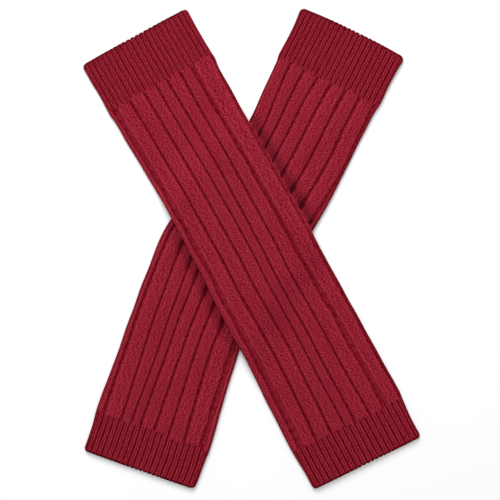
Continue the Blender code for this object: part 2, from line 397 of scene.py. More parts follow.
@dataclass(frozen=True)
class LegWarmer:
    """One leg warmer: a knitted tube pressed flat."""

    name: str
    seed: int
    hem_middle: tuple[float, float]
    turn: float
    stations: tuple[Station, ...]
    grooves: tuple[Groove, ...]
    creases: tuple[Crease, ...]
    ribbings: tuple[Ribbing, Ribbing]
    cuff_end: float
    leg_end: float
    lies_over: Optional[LegWarmer] = None

    # Heights, the slit inside, and the rounded folds.
    leg_height: float = 0.0051
    cuff_height: float = 0.0044
    hem_height: float = 0.0049
    tip_height: float = 0.0024
    inner_floor: float = 0.0019
    leg_gap: float = 0.0005
    hem_gap: float = 0.0009
    mouth_length: float = 0.022
    inner_tip: float = 0.0024
    inner_round: float = 0.0012
    over: Corner = Corner(0.0035, 0.0027)
    under: Corner = Corner(0.0030, 0.0024)

    # The ribs and the grooves between them.
    fullness: float = 0.0003
    parting: float = 0.0003
    seam_parting: float = 0.0005
    parting_length: float = 0.011
    hidden_opening: float = 0.0014
    open_from: float = 0.0016
    open_over: float = 0.0020
    groove_depth: float = 0.0020
    groove_floor: float = 0.0029
    floor_over: float = 0.5
    crown: float = 0.00045
    crown_power: float = 2.5
    rib_rise: float = 0.00010
    rib_level: float = 1.2
    rib_tilt: float = 0.00014
    wale_dip: float = 0.00013
    wale_width: float = 0.15
    wales_from: float = 2.0
    # How far the painted tilt across a groove reaches, and dashes of painted shade along the grooves.
    tilt_reach: float = 2.8
    dashes_from: float = 0.3
    dash_level: float = -0.08
    side_share: float = 0.60
    under_share: float = 0.40
    cuff_rib_depth: float = 0.00145

    # Where the wide ribs start beyond a cuff, and the slow swells of the top panel.
    blend_length: float = 0.0026
    tongue: float = 0.0042
    tongue_level: float = 0.35
    tongue_fall: float = 2.6
    tongue_jag: float = 0.0014
    overlap: float = 0.0007
    valley_jag: float = 0.0010
    seam_dip: float = 0.40
    seam_reach: float = 0.0012
    crest_length: float = 0.014
    crest_start: float = 0.25
    swell_size: float = 0.00007
    swell_level: float = -0.00020
    swell_slant: float = 0.6

    # The hems.
    lip: float = 0.0011
    corner_radius: float = 0.0035
    scallop: float = 0.0012
    scallop_length: float = 0.004
    edge_share: float = 0.35
    plain_edge: float = 0.0006
    edge_rise: float = 0.0013
    top_set_back: float = 0.0010
    bottom_set_back: float = 0.0009
    set_back_rise: float = 1.3

    # Painted shade and highlight at the folds, painted shade in troughs, at the hems and inside, and where
    # stitches are purl.
    fold_places: tuple[float, ...] = (0.0,)
    left_shades: tuple[float, ...] = (0.75,)
    right_shades: tuple[float, ...] = (0.80,)
    lit_under: float = 0.2
    dark_over: float = 0.02
    behind_rise: float = 0.4
    side_under: float = 0.2
    darkest_trough: float = 0.0015
    hem_line: float = 0.0008
    hem_shade: float = 0.92
    narrow_purl: float = 0.9
    purl_blur: float = 0.3
    purl_margin: float = 0.2

    # How the cloth falls beside what it lies over, and the soft shadow that it casts there, painted on the
    # cloth below.
    fall_start: float = 0.002
    fall_length: float = 0.030
    casts: tuple[tuple[float, float], ...] = ((0.42, 0.0034), (0.57, 0.0024))
    cast_start: float = 0.003
    cast_length: float = 0.009
    cast_tone: tuple[float, float] = (0.85, 0.72)

    # Points across a narrow rib, from valley to valley, with their depths and painted shades, negative for
    # painted highlights.
    NARROW_PLACES = (0.0, 0.085, 0.155, 0.215, 0.30, 0.40, 0.50, 0.60, 0.70, 0.785, 0.845, 0.915)
    NARROW_DEPTHS = (1.0, 0.90, 0.58, 0.20, 0.0, 0.12, 0.36, 0.12, 0.0, 0.20, 0.58, 0.90)
    NARROW_SHADES = (1.16, 0.86, 0.24, -0.27, -0.56, 0.14, 1.22, 0.14, -0.56, -0.27, 0.24, 0.86)

    # Stitches from a groove's middle, with the depths and painted shades there of closed and open grooves,
    # and how far the painted shade of an open groove tilts from one side to the other.
    OFF_GROOVE = (0.0, 0.5, 0.83, 1.17, 1.5, 1.83, 2.17, 2.5, 3.0, 4.0)
    CLOSED_DEPTHS = (1.0, 1.0, 0.98, 0.93, 0.72, 0.36, 0.20, 0.10, 0.04, 0.0)
    CLOSED_SHADES = (1.0, 1.0, 0.98, 0.86, 0.48, 0.10, -0.12, -0.36, -0.28, 0.0)
    OPEN_DEPTHS = (0.80, 0.80, 0.84, 0.90, 0.74, 0.36, 0.16, 0.06, 0.0, 0.0)
    OPEN_SHADES = (0.68, 0.68, 0.70, 0.84, 0.60, 0.14, -0.14, -0.50, -0.26, 0.0)
    OPEN_TILT = 0.20

    # The painted shade towards a fold, by how level the cloth is, and the painted shade behind the edge at
    # the side and above.
    RIM_PROFILE = ((0.0, 0.80, 0.94, 0.985, 1.0), (1.0, 0.85, 0.20, -0.20, 0.0))
    BEHIND_SHADES = (0.95, 0.55)

    # The least and the greatest share of an even rib's width, and of an even valley's painted shade.
    PITCHES = (0.96, 1.04)
    STRENGTHS = (0.90, 1.10)

    # Unevenness: what is added to the seed, size, shortest and longest wave, and how many waves.
    SIDE_WAVER = (50, 0.00012, 0.011, 0.040)
    GROOVE_WAVER = (0, 0.00010, 0.030, 0.090)
    OPENING_WAVER = (20, 0.20, 0.014, 0.050)
    HIDDEN_WAVER = (30, 0.00025, 0.030, 0.090)
    NARROW_WAVER = (100, 0.00016, 0.016, 0.050)
    # Dashes of painted shade along the grooves.
    DASH_WAVER = (360, 0.11, 0.0030, 0.0100)
    RISE_WAVER = (300, 1.0, 0.040, 0.120, 3)
    TILT_WAVER = (330, 1.0, 0.050, 0.140, 3)
    LENGTHWAYS_WAVER = (200, 1.0, 0.040, 0.110, 3)
    CROSSWAYS_WAVER = (210, 1.0, 0.030, 0.080, 3)
    SLANT_WAVER = (220, 1.0, 0.035, 0.090, 3)
    PITCH_SEED, VALLEY_SEED, START_SEED = 70, 80, 90

    @property
    def length(self) -> float:
        """From the top hem to the bottom one, along the middle."""
        return self.stations[-1].along

    def reading(self, column: str, along: Array) -> Array:
        """Reads a column of the station table at distances from the top hem."""
        places = tuple(station.along for station in self.stations)
        return Curve(places, tuple(getattr(station, column) for station in self.stations)).at(along)

    def from_hem(self, along: Array) -> Array:
        """Distances from the nearer hem, never under 0."""
        return np.maximum(np.minimum(along, self.length - along), 0.0)

    def waver(self, row: tuple[float, ...], place: Array, number: int = 0) -> Array:
        """Reads one of the kinds of unevenness listed above, each number's with a seed of its own."""
        return Waver(self.seed + row[0] + number, *row[1:]).at(place)

    def rib_waver(self, row: tuple[float, ...], along: Array, rib: Array) -> Array:
        """Reads an unevenness that each wide rib has of its own, for the rib that each point is on."""
        wavers = np.array([self.waver(row, along, number) for number in range(WIDE_RIBS)]).T
        return np.take_along_axis(wavers, rib, axis=1)

    def half_width(self, along: Array) -> Array:
        """Half the width of the pressed tube, with its corners rounded at the hems.

        Args:
            along: Distances from the top hem.

        Returns:
            The half widths.
        """
        within = np.minimum(self.from_hem(along), self.corner_radius)
        drawn_in = self.corner_radius - np.sqrt(self.corner_radius**2 - (self.corner_radius - within) ** 2)
        return self.reading("half", along) + self.fullness + self.waver(self.SIDE_WAVER, along) - drawn_in

    def ways_over(self, half: Array) -> tuple[Array, Array]:
        """The ways from a fold's tip to the middle of the top panel and of the underside."""
        return self.over.length + half - self.over.reach, self.under.length + half - self.under.reach

    def grooves_round(self, along: Array, half: Array) -> tuple[list[Array], list[Array]]:
        """Where the grooves lie round the tube: those of the top panel, then even ones under it.

        Args:
            along: Distances from the top hem, one for each row.
            half: Half widths of the rows.

        Returns:
            The way round from the left fold's tip to each groove's middle, and how wide each opens.
        """
        top_way, under_way = self.ways_over(half)
        middles, openings = [], []
        by_seam = np.minimum(np.abs(along - self.cuff_end), np.abs(self.leg_end - along))
        parting = self.parting + self.seam_parting * np.exp(-((by_seam / self.parting_length) ** 2))
        for number, groove in enumerate(self.grooves):
            across = Curve(GROOVE_PLACES, groove.offsets).at(along)
            across = np.clip(across + self.waver(self.GROOVE_WAVER, along, number), -half, half)
            way = self.over.way_from_tip(half - np.abs(across))
            middles.append(np.where(across < 0.0, way, 2.0 * top_way - way))
            breathing = 1.0 + self.waver(self.OPENING_WAVER, along, number)
            openings.append(Curve(GROOVE_PLACES, groove.openings).at(along) * breathing + parting)
        hidden = WIDE_RIBS - TOP_GROOVES
        last = middles[-1]
        left_over = middles[0] + 2.0 * (top_way + under_way) - last
        for number in range(1, hidden + 1):
            wander = self.waver(self.HIDDEN_WAVER, along, number)
            middles.append(last + left_over * number / (hidden + 1) + wander)
            openings.append(np.full_like(along, self.hidden_opening))
        return middles, openings

    def wide_places(self, along: Array, half: Array) -> tuple[Array, Array]:
        """Where the stitches of the leg lie round the tube.

        Args:
            along: Distances from the top hem, one for each row.
            half: Half widths of the rows.

        Returns:
            The way round from the left fold's tip for each row and column, and how open each groove is.
        """
        top_way, under_way = self.ways_over(half)
        round_way = 2.0 * (top_way + under_way)
        middles, openings = self.grooves_round(along, half)
        ways = [middles[-1] - round_way, *middles, middles[0] + round_way]
        widths = [openings[-1], *openings, openings[0]]
        knots, knot_ways = [], []
        for number, (way, width) in enumerate(zip(ways, widths), start=-1):
            centre = WIDE_RIB_STITCHES * (number + 0.5)
            for side in (-1.0, 1.0):
                knots.append(centre + side * PURL_STITCHES / 2.0)
                knot_ways.append(way + side * width / 2.0)
        knots, knot_ways = np.array(knots), np.array(knot_ways)
        after = np.searchsorted(knots, STITCH_OF_COLUMN, side="right")
        share = (STITCH_OF_COLUMN - knots[after - 1]) / (knots[after] - knots[after - 1])
        way = blended(knot_ways[after - 1], knot_ways[after], share[:, None]).T
        return way, smooth_step((np.array(openings).T - self.open_from) / self.open_over)

    def narrow_places(self, along: Array, half: Array) -> Array:
        """Where the stitches of a cuff lie round the tube.

        Args:
            along: Distances from the top hem, one for each row.
            half: Half widths of the rows.

        Returns:
            For each row and column, the way round from the left fold's tip.
        """
        top_way, under_way = self.ways_over(half)
        round_way = 2.0 * (top_way + under_way)
        draw = random.Random(self.seed + self.PITCH_SEED)
        pitches = np.array([draw.uniform(*self.PITCHES) for _ in range(NARROW_RIBS)])
        starts = np.concatenate([[0.0], np.cumsum(pitches)]) * NARROW_RIBS / pitches.sum()
        points = NARROW_RIB_STITCHES * POINTS_PER_STITCH
        rib, step = np.divmod(np.arange(COLUMNS), points)
        local = np.array(self.NARROW_PLACES)[step]
        counts = np.append(blended(starts[rib], starts[rib + 1], local), NARROW_RIBS)
        sway, places = (np.zeros((len(along), COLUMNS + 1)) for _ in range(2))
        for number in range(NARROW_RIBS):
            weight = np.where(rib == number, np.sin(math.pi * local) * 0.5 + 0.5, 0.0)
            sway[:, :-1] += self.waver(self.NARROW_WAVER, along, number)[:, None] * weight[None, :]
        for row, distance in enumerate(along):
            ribbing = self.ribbings[int(distance > self.length / 2.0)]
            places[row] = ribbing.ways(counts, top_way[row], round_way[row])
        return places + sway * (1.0 - np.isin(STITCH_OF_COLUMN, (0, STITCHES)))

    def stitches_at(self, way: Array, places: Array) -> Array:
        """Which stitch of the other kind of rib each point stands at.

        Args:
            way: The way round of each point.
            places: Where each stitch of the other ribs lies, for each row.

        Returns:
            Stitches from the left fold for each row and column.
        """
        found = np.empty_like(way)
        first = STITCH_OF_COLUMN[:-1]
        stitches = np.concatenate([first - STITCHES, first, STITCH_OF_COLUMN + STITCHES])
        for row, knots in enumerate(places):
            round_way = knots[-1] - knots[0]
            knots = np.concatenate([knots[:-1] - round_way, knots[:-1], knots + round_way])
            found[row] = np.interp(way[row], knots, stitches)
        return found

    def leg_share(self, along: Array, rib: Array, place: Array, late: Any = 0.0) -> Array:
        """How far each point belongs to the leg and not to a cuff, with the ribs' rounded starts.

        Args:
            along: Distances from the top hem, one for each row.
            rib: The wide rib that each point is on.
            place: Where it is on that rib.
            late: How far from the cuff the change is put off.

        Returns:
            Shares for each row and column.
        """
        draw = random.Random(self.seed + self.START_SEED)
        jag = self.tongue_jag
        jags = np.array([[draw.uniform(-jag, jag) for _ in range(WIDE_RIBS)] for _ in range(2)])
        rounding = self.tongue * (np.abs(place) ** 3 / self.tongue_fall - self.tongue_level) + late
        start = self.cuff_end + jags[0][rib] + rounding
        end = self.leg_end - jags[1][rib] - rounding
        rise = smooth_step((along[:, None] - start) / self.blend_length + 0.5)
        fall = smooth_step((end - along[:, None]) / self.blend_length + 0.5)
        return rise * fall

    @staticmethod
    def rib_places(stitch: Array) -> tuple[Array, Array]:
        """Which wide rib each point is on, and where.

        Args:
            stitch: Stitches from the left fold.

        Returns:
            The rib's number, and the place from -1 to 1 between its lips, further out in the grooves.
        """
        from_groove = stitch - WIDE_RIB_STITCHES / 2.0
        rib = np.floor(from_groove / WIDE_RIB_STITCHES).astype(int) % WIDE_RIBS
        place = off_middle(from_groove, WIDE_RIB_STITCHES)
        return rib, place / ((WIDE_RIB_STITCHES - PURL_STITCHES) / 2.0)

    def wide_relief(self, along: Array, stitch: Array, open_shares: Array) -> tuple[Array, Array]:
        """The relief of the wide ribs.

        Args:
            along: Distances from the top hem, one for each row.
            stitch: Stitches of the leg from the left fold, for each row and column.
            open_shares: How open each groove is in each row.

        Returns:
            The lowering and the painted shade for each row and column.
        """
        signed = off_middle(stitch, WIDE_RIB_STITCHES)
        off = np.abs(signed)
        nearest = np.floor(stitch / WIDE_RIB_STITCHES).astype(int) % WIDE_RIBS
        open_share = np.take_along_axis(open_shares, nearest, axis=1)
        tables = (self.CLOSED_DEPTHS, self.OPEN_DEPTHS, self.CLOSED_SHADES, self.OPEN_SHADES)
        closed, opened, closed_shade, open_shade = (np.interp(off, self.OFF_GROOVE, row) for row in tables)
        groove = blended(closed, opened, open_share)
        # An open groove is painted darker on its left side and lighter on its right, as if lit from one
        # side.
        tilt = np.clip(signed / (PURL_STITCHES / 2.0), -1.0, 1.0)
        open_shade -= self.OPEN_TILT * tilt * (off < self.tilt_reach)
        shade = blended(closed_shade, open_shade, open_share)
        # Dashes of painted shade along the shaded grooves.
        dashes = self.rib_waver(self.DASH_WAVER, along, nearest) + self.dash_level
        shade = np.where(shade > self.dashes_from, shade + dashes, shade)
        rib, place = self.rib_places(stitch)
        uneven = self.rib_rise * (self.rib_level - self.rib_waver(self.RISE_WAVER, along, rib))
        uneven += self.rib_tilt * self.rib_waver(self.TILT_WAVER, along, rib) * place
        off_wale = ((stitch + 0.5) % 1.0 - 0.5) / self.wale_width
        wales = self.wale_dip * np.exp(-(off_wale**2)) * (off > self.wales_from)
        crown = self.crown * np.minimum(np.abs(place), 1.0) ** self.crown_power
        return self.groove_depth * groove + (uneven + crown + wales) * (1.0 - groove), shade

    def narrow_relief(self, stitch: Array) -> tuple[Array, Array, Array]:
        """The relief of the narrow ribs.

        Args:
            stitch: Stitches of the cuff from the left fold, for each row and column.

        Returns:
            The share of the rib's depth, the painted shade, and how much further than others its valley
            runs.
        """
        steps = NARROW_RIB_STITCHES * POINTS_PER_STITCH
        step = stitch * POINTS_PER_STITCH % steps
        tables = (self.NARROW_DEPTHS, self.NARROW_SHADES)
        depth, shade = (np.interp(step, np.arange(steps + 1), (*row, row[0])) for row in tables)
        draw = random.Random(self.seed + self.VALLEY_SEED)
        strengths = np.array([draw.uniform(*self.STRENGTHS) for _ in range(NARROW_RIBS)])
        jags = np.array([draw.uniform(-self.valley_jag, self.valley_jag) for _ in range(NARROW_RIBS)])
        nearest = np.floor(stitch / NARROW_RIB_STITCHES + 0.5).astype(int) % NARROW_RIBS
        return depth, np.where(shade > 0.0, shade * strengths[nearest], shade), jags[nearest]

    def lift(self, x: Array, y: Array) -> Array:
        """How far the cloth is raised by the leg warmer that it lies over.

        Args:
            x: Places in the pair.
            y: Places in the pair.

        Returns:
            The lift at each place.
        """
        if self.lies_over is None:
            return np.zeros_like(x)
        beyond = np.maximum(self.lies_over.beyond_side(-1, x, y), self.lies_over.beyond_side(1, x, y))
        full = self.lies_over.leg_height + REST_GAP
        return full * (1.0 - smooth_step((beyond - self.fall_start) / self.fall_length))

    def cast_shade(self, x: Array, y: Array) -> Array:
        """The soft shadow painted beside this leg warmer's edges, on the cloth that it lies on.

        Args:
            x: Places in the pair.
            y: Places in the pair.

        Returns:
            The strength of the painted shadow at each place.
        """
        left, right = (self.beyond_side(side, x, y) for side in (-1, 1))
        beyond = np.maximum(left, right)
        fading = 1.0 - smooth_step((beyond - self.cast_start) / self.cast_length)
        strength, rise = (np.where(left > right, *pair) for pair in zip(*self.casts))
        return strength * fading * smooth_step(beyond / rise)

    def beyond_side(self, side: int, x: Array, y: Array, rows: int = 60) -> Array:
        """How far places lie outside one side of this leg warmer.

        Args:
            side: -1 for the left side and 1 for the right one.
            x: Places in the pair.
            y: Places in the pair.
            rows: How many stretches the side line is read in.

        Returns:
            Distances, negative on the cloth's own side.
        """
        along = np.linspace(0.0, self.length, rows + 1)
        line_x, line_y = self.in_pair(along, side * self.reading("half", along))
        nearest = np.full_like(x, np.inf)
        signed = np.zeros_like(x)
        for i in range(rows):
            run_x, run_y = line_x[i + 1] - line_x[i], line_y[i + 1] - line_y[i]
            share = ((x - line_x[i]) * run_x + (y - line_y[i]) * run_y) / (run_x**2 + run_y**2)
            share = np.clip(share, 0.0, 1.0)
            off_x, off_y = x - line_x[i] - share * run_x, y - line_y[i] - share * run_y
            distance = np.hypot(off_x, off_y)
            outward = np.sign(side * (off_y * run_x - off_x * run_y))
            closer = distance < nearest
            nearest = np.where(closer, distance, nearest)
            signed = np.where(closer, distance * outward, signed)
        return signed

    def in_pair(self, along: Array, across: Array, forward: Any = 0.0) -> tuple[Array, Array]:
        """Places in the pair, seen from above, of points of this leg warmer.

        Args:
            along: Distances of the rows from the top hem.
            across: Distances from the middle of the leg.
            forward: How far each point stands on from its row, towards the bottom hem.

        Returns:
            The x and y of each point.
        """
        lean = np.radians(self.reading("lean", along))
        bow = self.reading("bow", along) * (1.0 - (across / self.reading("half", along)) ** 2)
        x = self.reading("aside", along) + across * np.cos(lean)
        y = -(along + forward + bow + across * np.sin(lean))
        turn = math.radians(self.turn)
        return (
            self.hem_middle[0] + x * math.cos(turn) - y * math.sin(turn),
            self.hem_middle[1] + x * math.sin(turn) + y * math.cos(turn),
        )

    def envelope(self, way: Array, half: Array, crest: Array) -> tuple[Array, ...]:
        """The smooth form under the ribs.

        Args:
            way: The way round from the left fold's tip, for each row and column.
            half: Half widths of the rows.
            crest: Height of the crests for each row and column.

        Returns:
            Places across, heights, and the outward direction's two parts.
        """
        half = half[:, None]
        top_way, under_way = self.ways_over(half)
        way = way % (2.0 * (top_way + under_way))
        on_top = way < 2.0 * top_way
        panel = np.where(on_top, top_way, under_way)
        past = np.where(on_top, way, way - 2.0 * top_way)
        side = np.where(past < panel, -1.0, 1.0) * np.where(on_top, 1.0, -1.0)
        from_tip = np.minimum(past, 2.0 * panel - past)
        top_in, top_angle = self.over.round(from_tip)
        under_in, under_angle = self.under.round(from_tip)
        inward = np.where(on_top, top_in, under_in)
        angle = np.where(on_top, top_angle, under_angle)
        x = side * (half - inward)
        z = blended(self.tip_height, np.where(on_top, crest, 0.0), np.sin(angle))
        steep = np.where(on_top, self.over.reach, -self.under.reach) * np.sin(angle)
        level = np.where(on_top, self.over.rise, self.under.rise) * np.cos(angle)
        size = np.hypot(steep, level)
        return x, z, side * level / size, steep / size

    def in_cuff(self, along: Array) -> Array:
        """Distances from the nearer seam into its cuff, negative on the leg, as a column."""
        return np.maximum(self.cuff_end - along, along - self.leg_end)[:, None]

    def at_top(self, along: Array) -> Array:
        """Whether each row is in the top half of the leg warmer, as a column."""
        return (along < self.length / 2.0)[:, None]

    def mouth(self, along: Array) -> Array:
        """How far the tube opens towards a hem, from 0 to 1, as a column."""
        return 1.0 - smooth_step(self.from_hem(along)[:, None] / self.mouth_length)

    def lay(self, piece: Piece) -> Lay:
        """Lays the points of a piece on the smooth tube.

        Args:
            piece: Which piece.

        Returns:
            How they lie.
        """
        rows = self.rows_of(piece)
        along = np.clip(rows.along, 0.0, self.length)
        half = self.half_width(along)
        wide, open_shares = self.wide_places(along, half)
        narrow = self.narrow_places(along, half)
        way = wide if piece is Piece.LEG else narrow
        stitches = self.stitches_at(way, wide), self.stitches_at(way, narrow)
        share = self.leg_share(along, *self.rib_places(stitches[0]))
        cuff_crest = blended(self.cuff_height, self.hem_height, self.mouth(along))
        slow = smooth_step(self.crest_start - self.in_cuff(along) / self.crest_length)
        crest = blended(cuff_crest, self.leg_height, (share + slow) / 2.0)
        form = self.envelope(way, half, crest)
        return Lay(along, rows.through[:, None], half, *stitches, open_shares, share, *form)

    def relief(self, lay: Lay) -> tuple[Array, Array, Array]:
        """The relief of both kinds of rib, and how they meet at the seams.

        Args:
            lay: How the points lie.

        Returns:
            The lowering, and the painted shades of the wide ribs and of the narrow ones.
        """
        rib, place = self.rib_places(lay.wide_stitch)
        narrow_depth, narrow_shade, jag = self.narrow_relief(lay.narrow_stitch)
        wide_depth, wide_shade = self.wide_relief(lay.along, lay.wide_stitch, lay.open_shares)
        past_edge = smooth_step((self.from_hem(lay.along)[:, None] - self.plain_edge) / self.edge_rise)
        edge = blended(self.edge_share, 1.0, past_edge)
        wide_share = self.leg_share(lay.along, rib, np.zeros_like(place), self.overlap)
        narrow_share = edge * (1.0 - self.leg_share(lay.along, rib, place, self.overlap + jag))
        depth = np.maximum(self.cuff_rib_depth * narrow_depth * narrow_share, wide_depth * wide_share)
        facing = np.where(lay.out_z > 0.0, 1.0 - self.side_share, self.under_share - self.side_share)
        at_seam = smooth_step(1.0 - np.abs(self.in_cuff(lay.along)) / self.seam_reach)
        depth = depth * (self.side_share + facing * np.abs(lay.out_z)) * (1.0 - self.seam_dip * at_seam)
        # Each cuff's painted shade has a strength of its own.
        strength = np.where(self.at_top(lay.along), *(ribbing.shade for ribbing in self.ribbings))
        return depth, wide_shade * wide_share, narrow_shade * narrow_share * strength

    def trough(self, lay: Lay) -> Array:
        """How far the creases lower the top panel."""
        return sum(crease.at(lay.along[:, None], lay.x) for crease in self.creases)

    def forward(self, lay: Lay) -> Array:
        """How far the scallops of a hem stand on from their rows, towards the bottom hem.

        Args:
            lay: How the points lie.

        Returns:
            Distances, of use near the hems only.
        """
        at_top = self.at_top(lay.along)
        near_hem = smooth_step(1.0 - self.from_hem(lay.along)[:, None] / self.scallop_length)
        reach = self.scallop * (0.5 - self.narrow_relief(lay.narrow_stitch)[0]) * (1.0 - lay.share)
        set_back = np.where(at_top, self.top_set_back, self.bottom_set_back)
        set_back = set_back * np.clip(self.set_back_rise * lay.out_z, 0.0, 1.0)
        return np.where(at_top, -1.0, 1.0) * near_hem * (reach - set_back)

    def points(self, lay: Lay, depth: Array) -> Array:
        """Where the points of a piece are in the pair.

        Args:
            lay: How they lie on the smooth tube.
            depth: How far the ribs' relief lowers each.

        Returns:
            Three numbers for each row and column.
        """
        upward = np.clip(lay.out_z, 0.0, 1.0)
        outer_x = lay.x - lay.out_x * depth
        outer_z = lay.z - lay.out_z * depth + upward * (self.swell(lay.along, lay.x) - self.trough(lay))
        outer_z = np.where(lay.out_z > self.floor_over, np.maximum(outer_z, self.groove_floor), outer_z)
        gap = blended(self.leg_gap, self.hem_gap, self.mouth(lay.along))
        inner_x, inner_z = self.inside(lay.x, lay.out_z, lay.half[:, None], gap)
        across, height = blended(outer_x, inner_x, lay.through), blended(outer_z, inner_z, lay.through)
        x, y = self.in_pair(lay.along[:, None], across, self.forward(lay))
        return np.stack([x, y, height + self.lift(x, y)], axis=-1)

    def painted_rib_shading(self, lay: Lay, wide_shade: Array, narrow_shade: Array) -> Array:
        """The painted shades of grooves, valleys and creases.

        Args:
            lay: How the points lie.
            wide_shade: The painted shade of the wide ribs, negative for painted highlights where they catch
                the light.
            narrow_shade: The painted shade of the narrow ribs, negative for painted highlights where they
                catch the light.

        Returns:
            All the painted shades together.
        """
        in_wide, in_narrow = np.maximum(wide_shade, 0.0), np.maximum(narrow_shade, 0.0)
        painted_shading = in_wide + in_narrow * (1.0 - in_wide)
        painted_shading = painted_shading + np.minimum(wide_shade, 0.0) + np.minimum(narrow_shade, 0.0)
        painted_shading = painted_shading * (1.0 - lay.through)
        # Creases on the top panel are painted darker the deeper they are.
        in_trough = np.clip(self.trough(lay) / self.darkest_trough, 0.0, 1.0)
        return painted_shading + in_trough * np.clip(lay.out_z, 0.0, 1.0) * (1.0 - painted_shading)

    def fold_shade(self, lay: Lay) -> Array:
        """The painted shade towards the folds at the two sides.

        Args:
            lay: How the points lie.

        Returns:
            The painted shade, negative for a painted highlight where a fold catches the light.
        """
        tables = (self.left_shades, self.right_shades)
        left, right = (np.interp(lay.along, self.fold_places, row)[:, None] for row in tables)
        fold = np.where(lay.x < 0.0, left, right)
        level = np.abs(lay.out_z)
        return fold * np.where(fold < 0.0, 1.0 - level**3, np.interp(level, *self.RIM_PROFILE))

    def painted_shading(self, lay: Lay, wide_shade: Array, narrow_shade: Array) -> Array:
        """How deep in painted shade each point is: in grooves, valleys and creases, at the folds and hems,
        and inside.

        Args:
            lay: How the points lie.
            wide_shade: The painted shade of the wide ribs.
            narrow_shade: The painted shade of the narrow ribs.

        Returns:
            The painted shade, negative for painted highlights where the cloth catches the light.
        """
        painted_shading = self.painted_rib_shading(lay, wide_shade, narrow_shade)
        fold = self.fold_shade(lay)
        # Painted shade along the hems' edges and inside the tube.
        hem_line = 1.0 - smooth_step(self.from_hem(lay.along)[:, None] / self.hem_line - 1.0)
        behind = np.where(lay.out_z < self.side_under, *self.BEHIND_SHADES)
        behind = behind * smooth_step(lay.through / self.behind_rise)
        dark = np.maximum(np.maximum(fold, self.hem_shade * hem_line * (1.0 - lay.through)), behind)
        # Painted highlight on folds that catch the light.
        light = np.where(painted_shading < self.lit_under, np.minimum(fold, 0.0) * (1.0 - lay.through), 0.0)
        return np.where(dark > self.dark_over, np.maximum(painted_shading, dark), painted_shading + light)

    def purl(self, lay: Lay) -> Array:
        """Where the stitches lie purl side up, in valleys and grooves.

        Args:
            lay: How the points lie.

        Returns:
            Shares for each row and column.
        """
        narrow_off = np.abs(off_middle(lay.narrow_stitch, NARROW_RIB_STITCHES))
        wide_off = np.abs(off_middle(lay.wide_stitch, WIDE_RIB_STITCHES))
        narrow_purl = smooth_step((narrow_off - self.narrow_purl) / self.purl_blur)
        return blended(narrow_purl, wide_off < PURL_STITCHES / 2.0 - self.purl_margin, lay.share)

    def surface(self, piece: Piece, cover: Optional[LegWarmer]) -> Surface:
        """Works out the points of a piece, with what its finish reads there.

        Args:
            piece: Which piece.
            cover: The leg warmer that lies on this one.

        Returns:
            The points and the finish's values.
        """
        lay = self.lay(piece)
        depth, wide_shade, narrow_shade = self.relief(lay)
        points = self.points(lay, depth)
        painted_shading = self.painted_shading(lay, wide_shade, narrow_shade)
        # Painted shadow from the leg warmer on top, stronger where the cloth is painted dark.
        cast = np.zeros_like(painted_shading)
        if cover is not None:
            on_plain, in_hollows = self.cast_tone
            tone = on_plain + in_hollows * np.clip(painted_shading, 0.0, 1.0)
            cast = cover.cast_shade(points[..., 0], points[..., 1]) * (lay.out_z > 0.0) * tone
        return Surface(points, painted_shading, self.purl(lay), cast)

    def swell(self, along: Array, x: Array) -> Array:
        """Slow, uneven rises and dips of the top panel.

        Args:
            along: Distances from the top hem, one for each row.
            x: Places across, for each row and column.

        Returns:
            Offsets of the height, mostly downwards.
        """
        lengthways = self.waver(self.LENGTHWAYS_WAVER, along)[:, None]
        crossways = self.waver(self.CROSSWAYS_WAVER, x)
        slant = self.waver(self.SLANT_WAVER, x + self.swell_slant * along[:, None])
        return self.swell_size * (lengthways + crossways + slant) + self.swell_level

    def inside(self, x: Array, out_z: Array, half: Array, gap: Array) -> tuple[Array, Array]:
        """The plain inside of the tube, a slit between the panels.

        Args:
            x: Places across on the outside.
            out_z: The upward part of the outside's direction.
            half: Half widths.
            gap: The slit's height.

        Returns:
            Places across and heights.
        """
        tip = half - self.inner_tip
        inner = x / half * tip
        past = (np.abs(inner) - (tip - self.inner_round)) / self.inner_round
        open_share = np.sqrt(np.clip(1.0 - np.clip(past, 0.0, 1.0) ** 2, 0.0, 1.0))
        side = np.where(out_z >= 0.0, 1.0, -1.0)
        return inner, self.inner_floor + gap / 2.0 * (1.0 + side * open_share)

    def cuff_rows(self, hem: float, seam: float) -> Rows:
        """The rows of a cuff: out to the hem, round its lip, and back inside to the seam.

        Args:
            hem: Where the hem is.
            seam: Where the cuff joins the leg.

        Returns:
            The rows.
        """
        seam_zone, hem_zone, spacing = 0.008, 0.006, 0.0014
        inward = math.copysign(1.0, seam - hem)
        length = abs(seam - hem)
        near_seam = np.arange(0.0, seam_zone, 0.001)
        count = round((length - (seam_zone + hem_zone)) / spacing)
        middle = np.linspace(seam_zone, length - hem_zone, count)
        near_hem = np.linspace(length - 0.0055, length - self.lip, 9)
        inside = np.array([self.lip, 0.003, hem_zone, 0.012, 0.020, length - hem_zone, length])
        outside = hem + inward * (length - np.concatenate([near_seam, middle, near_hem]))
        turns = np.radians(np.arange(22.5, 180.0, 22.5))
        lip = Rows(hem + inward * self.lip * (1.0 - np.sin(turns)), (1.0 - np.cos(turns)) / 2.0)
        inner = Rows(hem + inward * inside, np.ones_like(inside))
        return Rows(outside, np.zeros_like(outside)).then(lip).then(inner)

